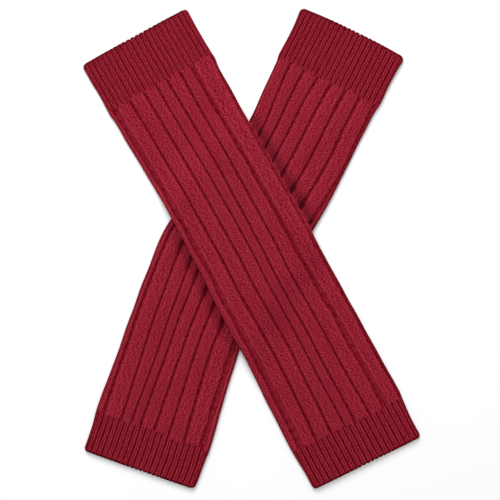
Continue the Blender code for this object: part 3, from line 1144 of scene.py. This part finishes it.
    def leg_rows(self) -> Rows:
        """The rows of the leg: down its outside, and back up inside.

        Returns:
            The rows.
        """
        seam_zone, middle_rows, inner_rows = 0.009, 130, 34
        fine = np.arange(0.0, seam_zone, 0.0009)
        middle = np.linspace(self.cuff_end + seam_zone, self.leg_end - seam_zone, middle_rows)
        outside = np.concatenate([self.cuff_end + fine, middle, self.leg_end - fine[::-1]])
        inner = np.linspace(self.leg_end, self.cuff_end, inner_rows)
        return Rows(outside[::-1], np.zeros_like(outside)).then(Rows(inner[::-1], np.ones_like(inner)))

    def rows_of(self, piece: Piece) -> Rows:
        """The rows of a piece.

        Args:
            piece: Which piece.

        Returns:
            Its rows, in order round the wall of the cloth.
        """
        if piece is Piece.LEG:
            return self.leg_rows()
        ends = (0.0, self.cuff_end) if piece is Piece.TOP_CUFF else (self.length, self.leg_end)
        return self.cuff_rows(*ends)

    def fill_in(self, mesh: bpy.types.Mesh, rows: Rows, shape: Surface) -> None:
        """Moves the points of a flat grid to their places, and gives it seams, a UV map and values.

        Args:
            mesh: The grid, with a column for each point round the tube.
            rows: The rows of the piece.
            shape: Its points, with what its finish reads there.
        """
        count = len(rows.along)
        flat = read(mesh.vertices, "co", 3)
        column = np.rint((flat[:, 0] + 0.5) * COLUMNS).astype(int)
        row = np.rint((flat[:, 1] + 0.5) * count).astype(int) % count
        mesh.vertices.foreach_set("co", shape.points[row, column % COLUMNS].ravel())
        first, second = row[read(mesh.edges, "vertices", 2, np.int32)].T
        seams = np.isin(rows.along, (self.cuff_end, self.leg_end))
        sharp = mesh.attributes.new("sharp_edge", "BOOLEAN", "EDGE")
        sharp.data.foreach_set("value", (first == second) & seams[first])
        uv = np.stack([column / COLUMNS, 1.0 - rows.along[row] / self.length], axis=-1)
        corner = read(mesh.loops, "vertex_index", 1, np.int32)[:, 0]
        mesh.uv_layers[UV_NAME].data.foreach_set("uv", uv[corner].ravel())
        for kind, values in ((PAINTED_SHADING_NAME, shape.painted_shading), (PURL_NAME, shape.purl), (CAST_NAME, shape.cast)):
            layer = mesh.attributes.new(kind, "FLOAT", "POINT")
            layer.data.foreach_set("value", values[row, column % COLUMNS].astype(np.float32))

    def knit(self, piece: Piece, cover: Optional[LegWarmer]) -> bpy.types.Object:
        """Builds the mesh of a piece.

        Args:
            piece: Which piece.
            cover: The leg warmer that lies on this one.

        Returns:
            The new object.
        """
        rows = self.rows_of(piece)
        name = f"{self.name}_{piece.node}_knit"
        mesh = bpy.data.meshes.new(name)
        bm = bmesh.new()
        bm.loops.layers.uv.new(UV_NAME)
        bmesh.ops.create_grid(bm, x_segments=COLUMNS, y_segments=len(rows.along), size=0.5, calc_uvs=True)
        bm.to_mesh(mesh)
        self.fill_in(mesh, rows, self.surface(piece, cover))
        bm.clear()
        bm.from_mesh(mesh)
        for face in bm.faces:
            face.smooth = True
        ends = [vert for vert in bm.verts if vert.is_boundary]
        bmesh.ops.remove_doubles(bm, verts=ends, dist=WELD_DISTANCE)
        if bm.calc_volume(signed=True) < 0.0:
            bmesh.ops.reverse_faces(bm, faces=bm.faces[:])
        bm.to_mesh(mesh)
        bm.free()
        return added(name, mesh)

    def flat_size(self, piece: Piece) -> tuple[float, float]:
        """The flat size of a piece, all round and along.

        Args:
            piece: Which piece.

        Returns:
            The width all round and the length.
        """
        along = self.rows_of(piece).along
        top_way, under_way = self.ways_over(self.half_width(np.array([along.mean()])))
        return float(2.0 * (top_way + under_way)[0]), float(along.max() - along.min())


class Number:
    """A value on a shader socket, worked on with Python's operators."""

    def __init__(self, shader: Shader, socket: bpy.types.NodeSocket) -> None:
        """Wraps an output socket of a shader."""
        self.shader = shader
        self.socket = socket

    def __add__(self, other: Number | float) -> Number:
        """Adds."""
        return self.shader.maths("ADD", self, other)

    __radd__ = __add__

    def __sub__(self, other: Number | float) -> Number:
        """Takes away."""
        return self.shader.maths("SUBTRACT", self, other)

    def __rsub__(self, other: Number | float) -> Number:
        """Takes this away from another value."""
        return self.shader.maths("SUBTRACT", other, self)

    def __mul__(self, other: Number | float) -> Number:
        """Multiplies."""
        return self.shader.maths("MULTIPLY", self, other)

    __rmul__ = __mul__

    def __pow__(self, other: Number | float) -> Number:
        """Raises to a power."""
        return self.shader.maths("POWER", self, other)

    def __abs__(self) -> Number:
        """The size without the sign."""
        return self.shader.maths("ABSOLUTE", self)

    @property
    def fract(self) -> Number:
        """What is left after the whole number."""
        return self.shader.maths("FRACT", self)

    @property
    def floor(self) -> Number:
        """The whole number below."""
        return self.shader.maths("FLOOR", self)

    @property
    def sine(self) -> Number:
        """The sine."""
        return self.shader.maths("SINE", self)


class Shader:
    """A material's nodes, made one by one."""

    def __init__(self, name: str) -> None:
        """Starts a material with no nodes.

        Args:
            name: The material's name.
        """
        self.material = bpy.data.materials.new(name)
        self.material.use_nodes = True
        self.tree = self.material.node_tree
        self.tree.nodes.clear()

    def node(
        self, kind: str, settings: Optional[dict[str, Any]] = None, sockets: Optional[dict[Any, Any]] = None
    ) -> bpy.types.Node:
        """Adds a node.

        Args:
            kind: The node's type.
            settings: Its own settings, which are set first.
            sockets: The values or links of its inputs, by name or number.

        Returns:
            The node.
        """
        made = self.tree.nodes.new(kind)
        for key, value in (settings or {}).items():
            setattr(made, key, value)
        for key, value in (sockets or {}).items():
            if isinstance(value, Number):
                value = value.socket
            if isinstance(value, bpy.types.NodeSocket):
                self.tree.links.new(value, made.inputs[key])
            else:
                made.inputs[key].default_value = value
        return made

    def maths(self, operation: str, *values: Number | float) -> Number:
        """Adds a Math node, and returns its result."""
        made = self.node("ShaderNodeMath", {"operation": operation}, dict(enumerate(values)))
        return Number(self, made.outputs[0])

    def blend(self, share: Number | float, first: Any, second: Any) -> bpy.types.NodeSocket:
        """Mixes two colours, where the share says how much of the second one is seen."""
        made = self.node("ShaderNodeMix", {"data_type": "RGBA"}, {0: share, 6: first, 7: second})
        return made.outputs[2]

    def attribute(self, name: str) -> Number:
        """Reads a value that the mesh carries, by its name."""
        return Number(self, self.node("ShaderNodeAttribute", {"attribute_name": name}).outputs["Fac"])

    def noise(self, first: Any, second: Any, scale: float, detail: float, roughness: float) -> Number:
        """Smooth noise over the cloth.

        Args:
            first: The first part of the place.
            second: The second part of the place.
            scale: How many patches there are to one unit of the place.
            detail: How finely they are broken up.
            roughness: How strong the finer patches are.

        Returns:
            Its strength, about one half.
        """
        place = self.node("ShaderNodeCombineXYZ", sockets={0: first, 1: second})
        sockets = {"Vector": place.outputs[0], "Scale": scale, "Detail": detail, "Roughness": roughness}
        return Number(self, self.node("ShaderNodeTexNoise", sockets=sockets).outputs[0])

    def cell(self, first: Number, second: Number) -> Number:
        """A strength of its own for each place that two whole numbers name.

        Args:
            first: The first number.
            second: The second number.

        Returns:
            The strength, from 0 to 1.
        """
        place = self.node("ShaderNodeCombineXYZ", sockets={0: first, 1: second})
        sockets = {"Vector": place.outputs[0]}
        noise = self.node("ShaderNodeTexWhiteNoise", {"noise_dimensions": "2D"}, sockets)
        return Number(self, noise.outputs[0])

    def principled(self, sockets: dict[str, Any]) -> bpy.types.Material:
        """Ends the material with a Principled surface.

        Args:
            sockets: The values or links of its inputs.

        Returns:
            The material.
        """
        surface = self.node("ShaderNodeBsdfPrincipled", sockets=sockets)
        self.node("ShaderNodeOutputMaterial", sockets={"Surface": surface.outputs[0]})
        return self.material


@dataclass(frozen=True)
class KnitFinish:
    """The finish of the knitting: matt red yarn in small V stitches, with painted light, shade and shadow
    read from the mesh.
    """

    name: str
    courses: float

    # Colours and the surface of the yarn, with the colours of the painted shade and of the painted cast
    # shadow.
    yarn: Colour = (0.140, 0.0010, 0.0050, 1.0)
    light_yarn: Colour = (0.54, 0.046, 0.084, 1.0)
    shade: Colour = (0.095, 0.0001, 0.0012, 1.0)
    painted_shadow: Colour = (0.035, 0.0025, 0.0060, 1.0)
    roughness: float = 0.90
    sheen: float = 0.015
    sheen_roughness: float = 0.45
    sheen_tint: Colour = (0.9, 0.35, 0.40, 1.0)

    # The relief of the stitches.
    bump_height: float = 0.00022
    bump_strength: float = 0.75
    knit_bump: float = 0.85
    fibre_bump: float = 0.3
    leg_slope: float = 0.55
    leg_share: float = 0.75
    loop_power: float = 0.6
    leg_power: float = 0.5
    purl_power: float = 0.8
    purl_step: float = 0.5

    # How much each part lightens the yarn: its own fibres, flecks, streaks, specks and patches, with painted
    # light on the stitches' raised parts, the wales and the lips; and how much painted shade darkens gaps
    # and valleys.
    height_light: float = 0.45
    cell_light: float = 0.18
    fibre_light: float = 0.15
    fleck_light: float = 0.50
    streak_light: float = 0.80
    speck_light: float = 2.50
    wale_light: float = 0.045
    lip_light: float = 0.36
    patch_light: float = 0.05
    base_light: float = -0.392
    streak_turn: float = 0.90
    gap_shade: float = 0.42
    deep_shade: float = 0.97
    deep_power: float = 1.35

    # Kinds of noise: scale, detail and roughness.
    FIBRE = (3.6, 2.0, 0.6)
    FLECK = (1.7, 0.0, 0.6)
    STREAK = (0.27, 0.0, 0.6)
    SPECK = (0.45, 0.0, 0.6)
    PATCH = (26.0, 2.0, 0.5)

    def slanted(self, stitch: Number, course: Number) -> Number:
        """Courses counted along the slanting legs of the stitches."""
        return course + abs(stitch.fract - 0.5) * 2.0 * self.leg_slope

    def height(self, stitch: Number, course: Number, purl: Number) -> Number:
        """The relief of the stitches: V shapes, and rows of short bumps where they lie purl side up.

        Args:
            stitch: Stitches round the tube.
            course: Courses up the tube.
            purl: Where the stitches lie purl side up.

        Returns:
            The height, from 0 to 1.
        """
        loop = (self.slanted(stitch, course).fract * math.pi).sine ** self.loop_power
        leg = (abs(stitch.fract - 0.5) * 2.0 * math.pi).sine ** self.leg_power
        knit_height = loop * (leg * self.leg_share + (1.0 - self.leg_share))
        purl_height = ((course + stitch.floor * self.purl_step).fract * math.pi).sine ** self.purl_power
        return knit_height * (1.0 - purl) + purl_height * purl

    def light(self, shader: Shader, stitch: Number, course: Number, height: Number, fibre: Number) -> Number:
        """How light the yarn is: its own fibres, flecks, streaks and specks, with painted light on the
        stitches' raised parts and painted light and shade on alternate wales.

        Args:
            shader: The shader.
            stitch: Stitches round the tube.
            course: Courses up the tube.
            height: The relief of the stitches.
            fibre: The strength of the fibres.

        Returns:
            The lightness.
        """
        slanted = self.slanted(stitch, course)
        across = (stitch * math.pi * self.streak_turn).sine
        fleck = shader.noise(stitch, course, *self.FLECK)
        streak = (shader.noise(stitch, course, *self.STREAK) - 0.5) * across
        speck = (shader.noise(course, stitch, *self.SPECK) - 0.5) * (slanted * math.pi).sine * across
        # The stitches' raised parts are painted lighter.
        light = height * self.height_light + shader.cell(stitch.floor, slanted.floor) * self.cell_light
        light = light + fibre * self.fibre_light + fleck * self.fleck_light
        light = light + streak * self.streak_light + speck * self.speck_light
        # Alternate wales painted lighter and darker.
        return light + (stitch * math.pi).sine * self.wale_light

    def material(self) -> bpy.types.Material:
        """Makes the material.

        Returns:
            The material.
        """
        shader = Shader(self.name)
        place = shader.node("ShaderNodeUVMap", {"uv_map": UV_NAME})
        u, v = shader.node("ShaderNodeSeparateXYZ", sockets={0: place.outputs[0]}).outputs[:2]
        stitch, course = Number(shader, u) * float(STITCHES), Number(shader, v) * self.courses
        # Painted shade in grooves, valleys, creases, folds, hems and inside; painted highlight where
        # negative.
        painted_shading = shader.attribute(PAINTED_SHADING_NAME)
        height = self.height(stitch, course, shader.attribute(PURL_NAME))
        fibre = shader.noise(stitch, course, *self.FIBRE)
        light = self.light(shader, stitch, course, height, fibre)
        # Painted highlight on rib lips and lit folds, where the painted shading is negative.
        light = light + shader.maths("MAXIMUM", painted_shading * -self.lip_light, 0.0)
        light = light + shader.noise(u, v, *self.PATCH) * self.patch_light + self.base_light
        # Painted shade in the gaps between loops.
        gaps = shader.maths("MULTIPLY_ADD", height, -self.gap_shade, self.gap_shade)
        # Painted shade in grooves, valleys, creases, at folds and hems, and inside.
        deep = shader.maths("MAXIMUM", painted_shading, 0.0) ** self.deep_power * self.deep_shade
        # Blends the yarn's dark and light colours by its own marl and by painted light.
        colour = shader.blend(light, self.yarn, self.light_yarn)
        colour = shader.blend(shader.maths("MAXIMUM", deep, gaps), colour, self.shade)
        # Painted shadow cast by the leg warmer on top.
        colour = shader.blend(shader.attribute(CAST_NAME), colour, self.painted_shadow)
        relief = height * self.knit_bump + fibre * self.fibre_bump
        sockets = {"Strength": self.bump_strength, "Distance": self.bump_height, "Height": relief}
        return shader.principled(
            {
                "Base Color": colour,
                "Roughness": self.roughness,
                "Sheen Weight": self.sheen,
                "Sheen Roughness": self.sheen_roughness,
                "Sheen Tint": self.sheen_tint,
                "Specular IOR Level": 0.0,
                "Normal": shader.node("ShaderNodeBump", sockets=sockets).outputs[0],
            }
        )


@dataclass(frozen=True)
class Softbox:
    """A soft studio light."""

    name: str
    place: tuple[float, float, float]
    size: float
    power: float

    def hang(self) -> None:
        """Adds the light, turned to the pair."""
        lamp = bpy.data.lights.new(self.name, "AREA")
        lamp.shape = "SQUARE"
        lamp.size = self.size
        lamp.energy = self.power
        made = added(self.name, lamp)
        made.location = self.place
        made.rotation_euler = (-Vector(self.place)).to_track_quat("-Z", "Y").to_euler()
        made.visible_camera = False


@dataclass(frozen=True)
class Studio:
    """A pale floor, soft light, and a camera that looks straight down."""

    floor_colour: Colour = (0.93, 0.93, 0.93, 1.0)
    floor_size: float = 4.0
    floor_drop: float = 0.0001
    floor_roughness: float = 0.9
    floor_specular: float = 0.1
    world_colour: Colour = (0.96, 0.98, 1.0, 1.0)
    world_strength: float = 0.28
    frame_width: float = 0.4184
    frame_middle: tuple[float, float] = (-0.0008, -0.0013)
    camera_height: float = 3.5
    sensor: float = 36.0
    softboxes: tuple[Softbox, ...] = (
        Softbox("softbox_above_top_hems", (-0.30, 1.27, 1.25), 1.0, 28.0),
        Softbox("softbox_overhead", (0.0, -0.15, 2.0), 1.6, 17.0),
    )

    def set_up(self) -> None:
        """Builds the whole studio."""
        self.lay_floor()
        self.light()
        self.place_camera()

    def lay_floor(self) -> None:
        """Lays the floor just under the pair."""
        mesh = bpy.data.meshes.new("floor")
        bm = bmesh.new()
        bmesh.ops.create_grid(bm, x_segments=1, y_segments=1, size=self.floor_size / 2.0)
        bmesh.ops.translate(bm, verts=bm.verts[:], vec=(0.0, 0.0, -self.floor_drop))
        bm.to_mesh(mesh)
        bm.free()
        floor = added("floor", mesh)
        paper = {
            "Base Color": self.floor_colour,
            "Roughness": self.floor_roughness,
            "Specular IOR Level": self.floor_specular,
        }
        mesh.materials.append(Shader("floor_paper").principled(paper))

    def light(self) -> None:
        """Hangs the softboxes and sets the even light of the room."""
        scene = bpy.context.scene
        scene.world = bpy.data.worlds.new("room")
        scene.world.use_nodes = True
        background = scene.world.node_tree.nodes["Background"]
        background.inputs["Color"].default_value = self.world_colour
        background.inputs["Strength"].default_value = self.world_strength
        scene.view_settings.view_transform = "Standard"
        for softbox in self.softboxes:
            softbox.hang()

    def place_camera(self) -> None:
        """Sets the camera straight above the pair, with a long lens."""
        lens = bpy.data.cameras.new("camera")
        lens.sensor_width = self.sensor
        lens.lens = self.sensor * self.camera_height / self.frame_width
        lens.clip_end = 20.0
        camera = added("camera", lens)
        camera.location = (*self.frame_middle, self.camera_height)
        bpy.context.scene.camera = camera


LOWER = LegWarmer(
    name="lower",
    seed=311,
    hem_middle=(0.0847, 0.1803),
    turn=-25.95,
    stations=(
        Station(0.0000, 0.0005, 0.0477, 0.0, -0.0020),
        Station(0.0140, 0.0004, 0.0469, 0.0, -0.0010),
        Station(0.0300, 0.0001, 0.0467),
        Station(0.0430, 0.0000, 0.0470, 0.0, 0.0006),
        Station(0.0490, -0.0002, 0.0464, 0.0, 0.0003),
        Station(0.0570, -0.0005, 0.0460),
        Station(0.0760, -0.0005, 0.0456, 0.5),
        Station(0.0960, 0.0000, 0.0452, 1.0),
        Station(0.1220, -0.0010, 0.0458, 4.0),
        Station(0.1490, -0.0041, 0.0480, 10.0),
        Station(0.1850, -0.0128, 0.0492, 13.5),
        Station(0.2220, -0.0206, 0.0486, 4.0),
        Station(0.2500, -0.0190, 0.0481, -4.0),
        Station(0.2830, -0.0163, 0.0476, -7.3),
        Station(0.3100, -0.0129, 0.0480, -8.0),
        Station(0.3370, -0.0093, 0.0487, -8.0),
        Station(0.3600, -0.0061, 0.0499, -7.0),
        Station(0.3710, -0.0046, 0.0501, -6.2),
        Station(0.3860, -0.0025, 0.0491, -6.4),
        Station(0.3980, -0.0012, 0.0490, -6.6),
        Station(0.4062, -0.0006, 0.0490, -6.6, 0.0006),
    ),
    grooves=(
        Groove((-0.0464, -0.0451, -0.0436, -0.0427, -0.0438), (0.0009, 0.0009, 0.0010, 0.0010, 0.0010)),
        Groove((-0.0350, -0.0324, -0.0305, -0.0284, -0.0279), (0.0009, 0.0009, 0.0010, 0.0009, 0.0008)),
        Groove((-0.0224, -0.0227, -0.0185, -0.0167, -0.0190), (0.0008, 0.0008, 0.0008, 0.0006, 0.0006)),
        Groove((-0.0096, -0.0118, -0.0085, -0.0090, -0.0111), (0.0009, 0.0009, 0.0008, 0.0009, 0.0009)),
        Groove((0.0028, 0.0005, 0.0035, 0.0023, 0.0011), (0.0009, 0.0009, 0.0009, 0.0009, 0.0010)),
        Groove((0.0163, 0.0147, 0.0155, 0.0135, 0.0138), (0.0013, 0.0013, 0.0011, 0.0010, 0.0010)),
        Groove((0.0294, 0.0289, 0.0283, 0.0255, 0.0275), (0.0010, 0.0010, 0.0010, 0.0011, 0.0012)),
        Groove((0.0438, 0.0438, 0.0420, 0.0424, 0.0434), (0.0022, 0.0024, 0.0034, 0.0044, 0.0036)),
    ),
    creases=(
        Crease(0.2225, -0.0304, 0.0115, 0.0023, 0.0, 0.0016),
        Crease(0.2295, -0.0184, 0.0105, 0.0021, 4.0, 0.0016),
        Crease(0.2365, -0.0089, 0.0090, 0.0018, 2.0, 0.0015),
        Crease(0.2455, 0.0029, 0.0105, 0.0024, 5.0, 0.0018),
        Crease(0.2555, 0.0141, 0.0110, 0.0022, 3.0, 0.0015),
        Crease(0.2660, 0.0259, 0.0120, 0.0026, 6.0, 0.0018),
        Crease(0.1125, -0.0322, 0.0070, 0.0020, 0.0, 0.0009),
        Crease(0.1190, -0.0225, 0.0060, 0.0018, -4.0, 0.0008),
        Crease(0.1325, 0.0011, 0.0060, 0.0018, 0.0, 0.0010),
        Crease(0.1390, 0.0150, 0.0075, 0.0024, 0.0, 0.0014),
        Crease(0.1450, 0.0287, 0.0080, 0.0028, 2.0, 0.0014),
        Crease(0.0730, -0.0190, 0.0190, 0.0090, 24.0, 0.0003),
        Crease(0.0980, 0.0200, 0.0240, 0.0080, -18.0, 0.0004),
        Crease(0.2920, -0.0220, 0.0260, 0.0070, 12.0, 0.0004),
        Crease(0.3120, 0.0240, 0.0200, 0.0090, -22.0, 0.0003),
        Crease(0.3480, -0.0050, 0.0150, 0.0080, 35.0, 0.0003),
    ),
    ribbings=(Ribbing(-0.0460, 0.00437, -0.0008, 0.91), Ribbing(-0.0476, 0.00480, -0.0014, 0.98)),
    cuff_end=0.0455,
    leg_end=0.3720,
)
UPPER = LegWarmer(
    name="upper",
    seed=127,
    hem_middle=(-0.0975, 0.1765),
    turn=28.7,
    stations=(
        Station(0.0000, 0.0000, 0.0498, 0.0, -0.0007),
        Station(0.0140, 0.0000, 0.0493, 0.0, -0.0004),
        Station(0.0300, 0.0005, 0.0493),
        Station(0.0430, 0.0007, 0.0495),
        Station(0.0470, 0.0009, 0.0499),
        Station(0.0560, 0.0010, 0.0490),
        Station(0.0800, 0.0014, 0.0487),
        Station(0.1020, 0.0019, 0.0483),
        Station(0.1360, 0.0029, 0.0481),
        Station(0.2020, 0.0032, 0.0491),
        Station(0.2330, 0.0021, 0.0495),
        Station(0.2830, 0.0021, 0.0498, 0.5),
        Station(0.3230, 0.0012, 0.0507, 1.5),
        Station(0.3430, 0.0011, 0.0510, 2.0),
        Station(0.3640, 0.0008, 0.0516, 2.4),
        Station(0.3740, 0.0004, 0.0507, 2.4),
        Station(0.3900, 0.0002, 0.0499, 2.4),
        Station(0.4056, 0.0001, 0.0499, 2.4, 0.0003),
    ),
    grooves=(
        Groove((-0.0446, -0.0427, -0.0426, -0.0419, -0.0431), (0.0030, 0.0030, 0.0026, 0.0040, 0.0044)),
        Groove((-0.0296, -0.0287, -0.0282, -0.0268, -0.0289), (0.0009, 0.0010, 0.0013, 0.0016, 0.0014)),
        Groove((-0.0159, -0.0150, -0.0146, -0.0132, -0.0152), (0.0009, 0.0009, 0.0008, 0.0009, 0.0009)),
        Groove((-0.0042, -0.0036, -0.0029, -0.0028, -0.0025), (0.0006, 0.0007, 0.0007, 0.0007, 0.0007)),
        Groove((0.0060, 0.0068, 0.0058, 0.0062, 0.0068), (0.0008, 0.0008, 0.0007, 0.0008, 0.0009)),
        Groove((0.0185, 0.0181, 0.0176, 0.0187, 0.0205), (0.0010, 0.0010, 0.0009, 0.0009, 0.0010)),
        Groove((0.0294, 0.0298, 0.0307, 0.0338, 0.0355), (0.0019, 0.0020, 0.0021, 0.0032, 0.0038)),
        Groove((0.0488, 0.0476, 0.0480, 0.0486, 0.0501), (0.0010, 0.0030, 0.0030, 0.0020, 0.0010)),
    ),
    creases=(
        Crease(0.0760, -0.0240, 0.0210, 0.0080, 20.0, 0.0004),
        Crease(0.0880, 0.0270, 0.0160, 0.0070, -14.0, 0.0003),
        Crease(0.1230, 0.0090, 0.0280, 0.0060, 8.0, 0.0004),
        Crease(0.1500, -0.0330, 0.0180, 0.0080, -25.0, 0.0003),
        Crease(0.2130, 0.0320, 0.0260, 0.0070, 6.0, 0.0004),
        Crease(0.2560, -0.0170, 0.0300, 0.0090, 16.0, 0.0005),
        Crease(0.2980, 0.0180, 0.0190, 0.0060, -10.0, 0.0004),
        Crease(0.3310, -0.0300, 0.0170, 0.0080, 28.0, 0.0003),
        Crease(0.3480, 0.0070, 0.0130, 0.0060, -8.0, 0.0003),
    ),
    ribbings=(Ribbing(-0.0496, 0.00453, 0.0, 0.88), Ribbing(-0.0489, 0.00503, -0.0004, 1.0)),
    cuff_end=0.0453,
    leg_end=0.3698,
    lies_over=LOWER,
    # Painted shade along the folds, painted highlight where negative, changing along the leg warmer.
    fold_places=(0.046, 0.092, 0.112, 0.205, 0.224, 0.290, 0.340),
    left_shades=(0.05, 0.05, -0.45, -0.60, -0.60, 0.25, 0.55),
    right_shades=(0.60, 0.95, -0.65, -0.65, 0.85, 0.85, 0.85),
)


def dress(warmer: LegWarmer, cover: Optional[LegWarmer] = None) -> None:
    """Args:
        warmer: The leg warmer.
        cover: The leg warmer that lies on it.
    """
    for piece in Piece:
        node = f"{warmer.name}_{piece.node}"
        made = warmer.knit(piece, cover)
        finish = KnitFinish(name=f"{node}_yarn", courses=warmer.length / COURSE_HEIGHT)
        made.data.materials.append(finish.material())
        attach(made, BODY)
        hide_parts(node)
        width, length = warmer.flat_size(piece)
        faces = len(made.data.polygons)
        log.info("%s: %d faces, %.0f x %.0f mm flat", made.name, faces, width * 1e3, length * 1e3)


def main() -> None:
    """Loads the frame, knits the pair and sets up the studio."""
    logging.basicConfig(level=logging.INFO, format="%(name)s: %(message)s")
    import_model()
    Studio().set_up()
    dress(LOWER, UPPER)
    dress(UPPER)


if __name__ == "__main__":
    main()
